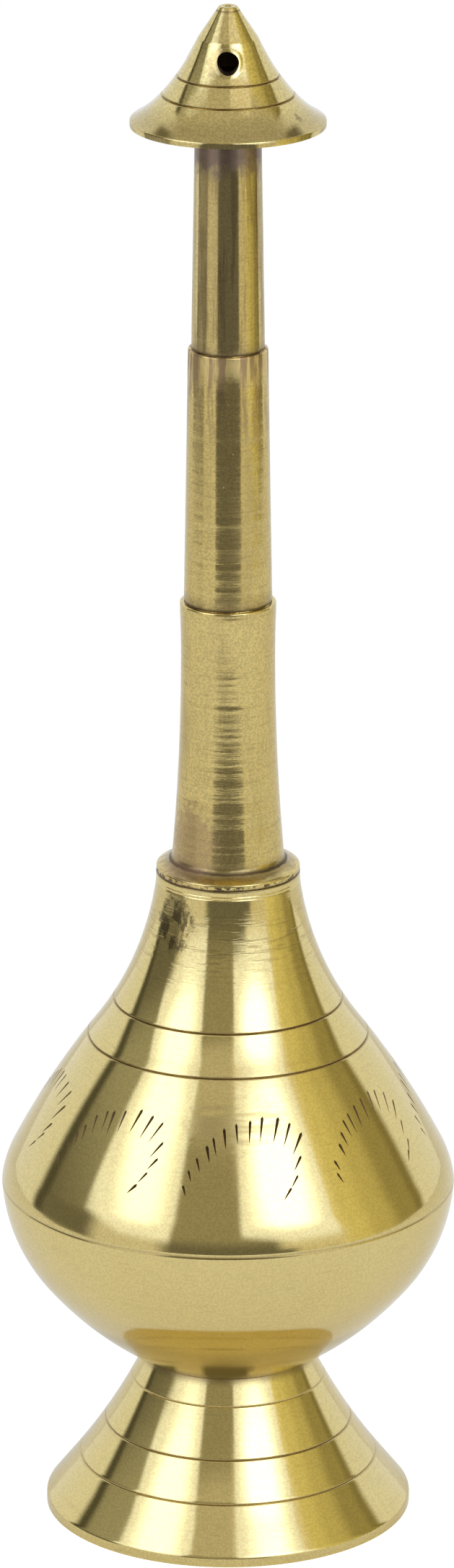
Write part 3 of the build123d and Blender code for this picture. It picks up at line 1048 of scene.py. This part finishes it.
def make_thread(inner, inner_half, outer, outer_half, start, end):
    """A helical cutter between two radii, as wide above and below as the halves say."""
    bm = bmesh.new()
    section = ((inner, -inner_half), (outer, -outer_half), (outer, outer_half), (inner, inner_half))
    face = bm.faces.new([bm.verts.new((x, 0, start + z)) for x, z in section])
    steps = round(AROUND_THREAD * (end - start) / PITCH)
    bmesh.ops.spin(
        bm, geom=[face], cent=(0, 0, 0), axis=(0, 0, 1), dvec=(0, 0, (end - start) / steps),
        angle=2 * pi * (end - start) / PITCH, steps=steps,
    )
    bmesh.ops.recalc_face_normals(bm, faces=bm.faces)
    return bm


def make_bush():
    rim, recess, recess_low = 9.55, 8.5, 107.3
    bm = bmesh.new()
    outside = Pen(bm, BORE, LEDGE).line(rim, LEDGE).line(rim, mouth, 4).line(recess, mouth)
    outside.line(recess, recess_low).line(BORE, recess_low)
    soften(bm, 0.12, (rim, 0, mouth), (recess, 0, mouth), (BORE, 0, recess_low))
    bm.edges.new((outside.tip, outside.start))
    return turn(bm, AROUND_THREAD)


def make_nipple():
    bore, bottom, top, chamfer = 5.2, 99.5, 117.0, 0.6
    bm = bmesh.new()
    outside = Pen(bm, bore, bottom).line(CREST - chamfer, bottom).line(CREST, bottom + chamfer)
    outside.line(CREST, top, 6).line(bore, top)
    bm.edges.new((outside.tip, outside.start))
    return turn(bm, AROUND_THREAD)


inner_brass = Brass("inner_brass", colour=INNER_BRASS, roughness=0.30, spread=0.4)
inner_brass.mark(0.6, TARNISH_AND_SHADE, 0.2, "patches", Size_mm=3.0, Upright=1.0, From=0.42, To=0.66)
inner_brass.turned(0.006, per_mm=4.0, drift=0.1)
inner_finish = inner_brass.done()

bush = placed("threaded_bush", make_bush(), inner_finish)
bush_groove = make_thread(BORE - 0.3, 0.88, 7.02, 0.40, LEDGE - 1.5 * PITCH, mouth + 1.5 * PITCH)
cut(bush, placed("bush_tap", bush_groove, inner_finish))
finish_piece(bush, "mouth_bush")

nipple = placed("threaded_nipple", make_nipple(), inner_finish)
nipple_groove = make_thread(6.35, 0.26, CREST + 0.3, 0.76, LEDGE - 2 * PITCH, mouth + PITCH / 2)
cut(nipple, placed("nipple_die", nipple_groove, inner_finish))
finish_piece(nipple, "neck_nipple")

# %% [markdown]
# ## The washer
#
# A ring of pressed leather lies in the bush's recess, and the neck's flange squeezes it. Its rims are
# rounded by that pressure. Its grain is a fine pattern of cells, and the leather is darker and less
# dull where oil has soaked in.

# %% Leather washer
TANNED = (0.20, 0.11, 0.055, 1.0)
OILED = (0.09, 0.05, 0.028, 1.0)

washer_leather, hide = new_material("washer_leather")
spot, _, _, _ = millimetres(hide)
cells = hide.add("TexVoronoi", {"Vector": spot, "Scale": 3.5, "Randomness": 1.0})
oil = hide.add("TexNoise", {"Vector": spot, "Scale": 0.6, "Detail": 4.0})
tan = hide.mix(hide.smooth(oil.outputs["Fac"], 0.35, 0.65), TANNED, OILED)
grain = hide.add("Bump", {"Height": cells.outputs["Distance"], "Strength": 0.6, "Distance": 0.12 * MM})
rough = hide.smooth(oil.outputs["Fac"], 0.3, 0.7, 0.75, 0.5)
skin = hide.add("BsdfPrincipled", {"Base Color": tan, "Roughness": rough, "Normal": grain.outputs[0]})
hide.add("OutputMaterial", {"Surface": skin.outputs[0]})


def make_washer():
    inner, outer, bottom = 7.0, 8.4, 107.3
    bm = bmesh.new()
    corners = [(inner, bottom), (outer, bottom), (outer, mouth), (inner, mouth)]
    pen = Pen(bm, *corners[0]).line(*corners[1], 3).line(*corners[2], 3).line(*corners[3], 3)
    bm.edges.new((pen.tip, pen.start))
    soften(bm, 0.25, *[(x, 0, z) for x, z in corners])
    return turn(bm, AROUND_THREAD)


washer = placed("leather_washer", make_washer(), washer_leather)
finish_piece(washer, "seal_washer")

# %% [markdown]
# ## The neck
#
# Three tapering tubes, each let into the one below it, make the neck; the joints show as small steps
# with a bright, worn lip. It was turned with a springy tool, which chatters: every few tenths of a
# millimetre the surface is a hair higher or lower. That is real shape here, drawn into the section
# from a seeded random walk before it is turned.

# %% Neck
CHATTER = 0.004
PINKISH = (0.33, 0.20, 0.12, 1.0)
UNPOLISHED = (0.68, 0.51, 0.20, 1.0)
RUNS = (0.30, 0.19, 0.10, 1.0)
UPPER_BRASS = (0.66, 0.51, 0.21, 1.0)
SHADE_UNDER_HAT = (0.19, 0.13, 0.10, 1.0)
LEDGE_IN_HAT = 239.4


def chatter(bm, bottom, top, size, seed):
    """Moves the outside in and out by hairs, ring by ring, between two heights."""
    hand = random.Random(seed)
    drift = 0.0
    for vert in sorted(bm.verts, key=lambda vert: vert.co.z):
        if bottom < vert.co.z < top:
            drift = 0.6 * drift + hand.gauss(0, size)
            vert.co.x += drift


def make_neck_lower():
    flange, edge, rise, root, fillet = radius("neck_lower"), 1.0, 0.5, 8.95, 1.2
    waist, waist_drop, lip, lip_drop, bore = 7.48, 7.5, 7.62, 1.8, 5.9
    socket, socket_top = 6.95, 117.0
    bm = bmesh.new()
    outside = Pen(bm, flange, mouth).line(flange, mouth + edge, 3)
    outside.line(root + fillet, mouth + edge + rise, 3).arc(root, mouth + edge + rise + fillet, 8)
    outside.lean(5.0).arc(waist, lower_step - waist_drop, 110).arc(lip, lower_step - lip_drop, 18)
    outside.line(lip, lower_step, 5)
    chatter(bm, mouth + 3.5, lower_step - 1.5, CHATTER, 3)
    outside.line(bore, lower_step, 2).line(bore, socket_top, 4).line(socket, socket_top)
    outside.line(socket, mouth, 2)
    bm.edges.new((outside.tip, outside.start))
    soften(bm, 0.16, (flange, 0, mouth + edge), (flange, 0, mouth))
    soften(bm, 0.22, (lip, 0, lower_step))
    return turn(bm)


def make_tube(foot_radius, top_radius, bottom, top, spigot, spigot_low, bore, end, lip, seed):
    """A tapering tube with a spigot below and, if it ends in a lip, a rounded one."""
    bm = bmesh.new()
    outside = Pen(bm, spigot, spigot_low).line(spigot, bottom, 2).line(foot_radius, bottom, 2)
    outside.line(top_radius, top, 110)
    chatter(bm, bottom + 0.4, top - 1.2, CHATTER, seed)
    if end > top:
        outside.line(top_radius, end, 3)
    outside.line(bore, end, 2).line(bore, spigot_low, 6)
    bm.edges.new((outside.tip, outside.start))
    if lip:
        soften(bm, lip, (top_radius, 0, top))
    return turn(bm, 192)


lower_finish = neck_brass(
    "neck_lower_brass", stains=[(110.2, 2.6, 0.7, 0.6, 1.0)], joints=[(110.6, 0.7, 0.3), (108.6, 0.35, 0.3)],
)
lower_finish.dull(lower_finish.blotch((-6.5, -6.0, 114.0), size=6.5, tall=1.4, ragged=1.6), 0.5, PINKISH, 0.2)
dirt = lower_finish.ring(109.0, 0.5, 0.6, ragged=0.4)
dirt = lower_finish.both(dirt, "patches", Size_mm=0.9, Upright=0.7, From=0.50, To=0.58)
lower_finish.dull(dirt, 0.95, DEEP_STAIN_AND_DARK_REFLECTION, 0.4)
neck_lower = placed("flanged_neck", make_neck_lower(), lower_finish.done())
finish_piece(neck_lower, "neck_lower")

middle_finish = neck_brass(
    "neck_middle_brass", stains=[(153.5, 3.0, 0.1, 0.5, 5.0)], joints=[(153.6, 0.6, 0.1)],
)
middle_finish.dull(middle_finish.ring(194.0, 3.0, 5.0, ragged=5.0), 1.0, UNPOLISHED, 0.30)
runs = middle_finish.ring(196.0, 1.0, 22.0, ragged=7.0)
runs = middle_finish.both(runs, "patches", Size_mm=1.5, Upright=8.0, From=0.46, To=0.58)
middle_finish.dull(runs, 0.85, RUNS, 0.1)
middle_tube = make_tube(
    foot_radius=7.0, top_radius=6.3, bottom=lower_step, top=upper_step,
    spigot=5.85, spigot_low=146.5, bore=4.7, end=upper_step, lip=0.2, seed=11,
)
neck_middle = placed("middle_neck", middle_tube, middle_finish.done())
finish_piece(neck_middle, "neck_middle")

upper_finish = neck_brass(
    "neck_upper_brass", stains=[(195.0, 2.0, 0.1, 0.5, 3.0)], joints=[(195.1, 0.6, 0.1)], colour=UPPER_BRASS,
)
upper_finish.mark(0.45, TARNISH_AND_SHADE, 0.05, "patches", Size_mm=1.1, Upright=16.0, From=0.48, To=0.60)
# Painted shade: the neck darkens just under the hat's brim, where the hat shades it and its dark underside is
# mirrored.
upper_finish.dull(upper_finish.ring(226.8, 30.0, 4.5, ragged=8.0), 0.9, SHADE_UNDER_HAT, 0.2)
upper_tube = make_tube(
    foot_radius=5.8, top_radius=5.2, bottom=upper_step, top=brim,
    spigot=4.65, spigot_low=188.0, bore=3.6, end=LEDGE_IN_HAT, lip=0, seed=19,
)
neck_upper = placed("upper_neck", upper_tube, upper_finish.done())
finish_piece(neck_upper, "neck_upper")

# %% [markdown]
# ## The sprinkler hat
#
# The hat is the clever piece. It is a concave cone with a thin brim, and a chamber drilled from below
# sits over the end of the neck. Three holes run straight out of the chamber. A drill that comes out
# through a sloping wall wanders and throws up a burr, so each hole here is a little out of round and
# has a raised lip on one side. One cutter holds all four drills, and its dark finish stays in them.

# %% Hat
HAT_WALL = 1.5
HOLES = 3
HOLE_RADIUS = 1.72
HOLE_HEIGHT = 242.3
CHAMBER = 4.3
CHAMBER_SIDE = 242.9
POINT = 0.8
CHAMBER_TOP = 246.9
BURR = 0.10
BURR_WIDTH = 0.55
DRILLED = (0.13, 0.085, 0.04, 1.0)


def make_hat():
    edge, flare, flare_rise, nib, nib_rise, nib_top = 0.9, 4.25, 4.2, 4.73, 5.05, 1.4
    dimple, dimple_depth = 0.9, 0.5
    boss, socket = 7.0, 5.25
    rim = radius("sprinkler_hat")
    bm = bmesh.new()
    outside = Pen(bm, rim, brim).line(rim, brim + edge, 2).lean(61.5)
    outside.marks[-1] = (outside.tip.co.copy(), outside.way.copy())
    outside.arc(rim - flare, brim + flare_rise, 32).arc(nib, tip - nib_rise, 64)
    marks = outside.marks[1:]
    outside.line(nib_top, tip, 24)
    for rise in (5.0, 8.0):
        cut_groove(bm, brim + rise, width=0.40, depth=0.26, worn=0.06, worn_over=0.27)
    outside.line(dimple, tip).line(0, tip - dimple_depth, 3)
    soften(bm, 0.15, (rim, 0, brim + edge), (rim, 0, brim), (nib_top, 0, tip))
    before = set(bm.verts)
    inner_wall(bm, marks, HAT_WALL, 24)
    under_rim = trim(bm, before, (0, 0, brim), (0, 0, -1))
    under_boss = trim(bm, before, (boss, 0, 0), (-1, 0, 0))
    bm.edges.new((under_rim, outside.start))
    inside = Pen(bm, boss, brim).line(socket, brim).line(socket, LEDGE_IN_HAT, 2).line(0, LEDGE_IN_HAT, 3)
    bm.edges.new((inside.start, under_boss))
    return turn(bm)


def towards(hole):
    """The turn that brings what faces the camera to a hole's place."""
    return Matrix.Rotation(2 * pi / HOLES * hole, 4, "Z")


def raise_burr(bm, hole):
    """Pushes up a lip round a hole, highest on one side of it."""
    back = towards(-hole)
    for vert in bm.verts:
        place = back @ vert.co
        offset = Vector((place.x, place.z - HOLE_HEIGHT))
        away = (offset.length - HOLE_RADIUS) / BURR_WIDTH
        on_outside = place.y < -HOLE_RADIUS and hypot(place.x, place.y) > CHAMBER + 0.3
        if on_outside and abs(away) < 1:
            share = 0.35 + 0.65 * max(0.0, offset.x / offset.length)
            vert.co += vert.normal * BURR * share * (1 - away * away)


def make_drills():
    """The chamber's drill from below, and the drills of the holes, each a hair out of round."""
    bm = bmesh.new()
    chamber = Pen(bm, 0, LEDGE_IN_HAT - 1).line(CHAMBER, LEDGE_IN_HAT - 1).line(CHAMBER, CHAMBER_SIDE, 2)
    chamber.line(POINT, CHAMBER_TOP, 3).line(0, CHAMBER_TOP)
    turn(bm, 96)
    for hole in range(HOLES):
        drill = bmesh.ops.create_cone(
            bm, cap_ends=True, segments=40, radius1=HOLE_RADIUS, radius2=HOLE_RADIUS, depth=20.0,
        )["verts"]
        bmesh.ops.translate(bm, vec=(0, 0, 10.0), verts=drill)
        for vert in drill:
            angle = atan2(vert.co.y, vert.co.x)
            wobble = 1 - 0.09 * max(0.0, cos(angle - 0.9 - hole)) ** 4 + 0.03 * sin(3 * angle + hole)
            vert.co.x *= wobble
            vert.co.y *= wobble
        lying = Matrix.Rotation(pi / 2, 4, "X")
        placed_drill = Matrix.Translation((0, 0, HOLE_HEIGHT)) @ towards(hole) @ lying
        bmesh.ops.transform(bm, matrix=placed_drill, verts=drill)
    bmesh.ops.recalc_face_normals(bm, faces=bm.faces)
    return bm


hat_bm = make_hat()
hat_bm.normal_update()
for hole in range(HOLES):
    raise_burr(hat_bm, hole)
hat_finish = polished("hat_brass", [
    (236.0, 0.25, 0.25, 1.0), (239.0, 0.25, 0.25, 1.0), (249.4, 0.2, 0.25, 0.8),
], roughness=0.085, sand=0.55)
halo = hat_finish.blotch((-1.6, -6.0, HOLE_HEIGHT), size=2.6, tall=1.2, ragged=1.0)
hat_finish.dull(halo, 0.45, TARNISH_AND_SHADE, 0.2)
# A ring of painted shade darkens the hat's skirt just above the brim.
hat_finish.dull(hat_finish.ring(232.6, 3.2, 2.0, ragged=1.5), 0.30, TARNISH_AND_SHADE, 0.05)
# A painted dark reflection on the right flank of the hat's skirt.
hat_dark_reflection = hat_finish.blotch((10.4, -6.4, 232.8), size=1.2, tall=1.6, ragged=1.6)
hat_finish.dull(hat_dark_reflection, 0.7, DEEP_STAIN_AND_DARK_REFLECTION, 0.1)
drilled = Brass("drilled_brass", colour=DRILLED, roughness=0.5, spread=0.0)
drilled.turned(0.01, per_mm=5.0, drift=1.0)
hat = placed("sprinkler_hat_piece", hat_bm, hat_finish.done())
cut(hat, placed("drills", make_drills(), drilled.done()), crossing=True)
finish_piece(hat, "sprinkler_hat")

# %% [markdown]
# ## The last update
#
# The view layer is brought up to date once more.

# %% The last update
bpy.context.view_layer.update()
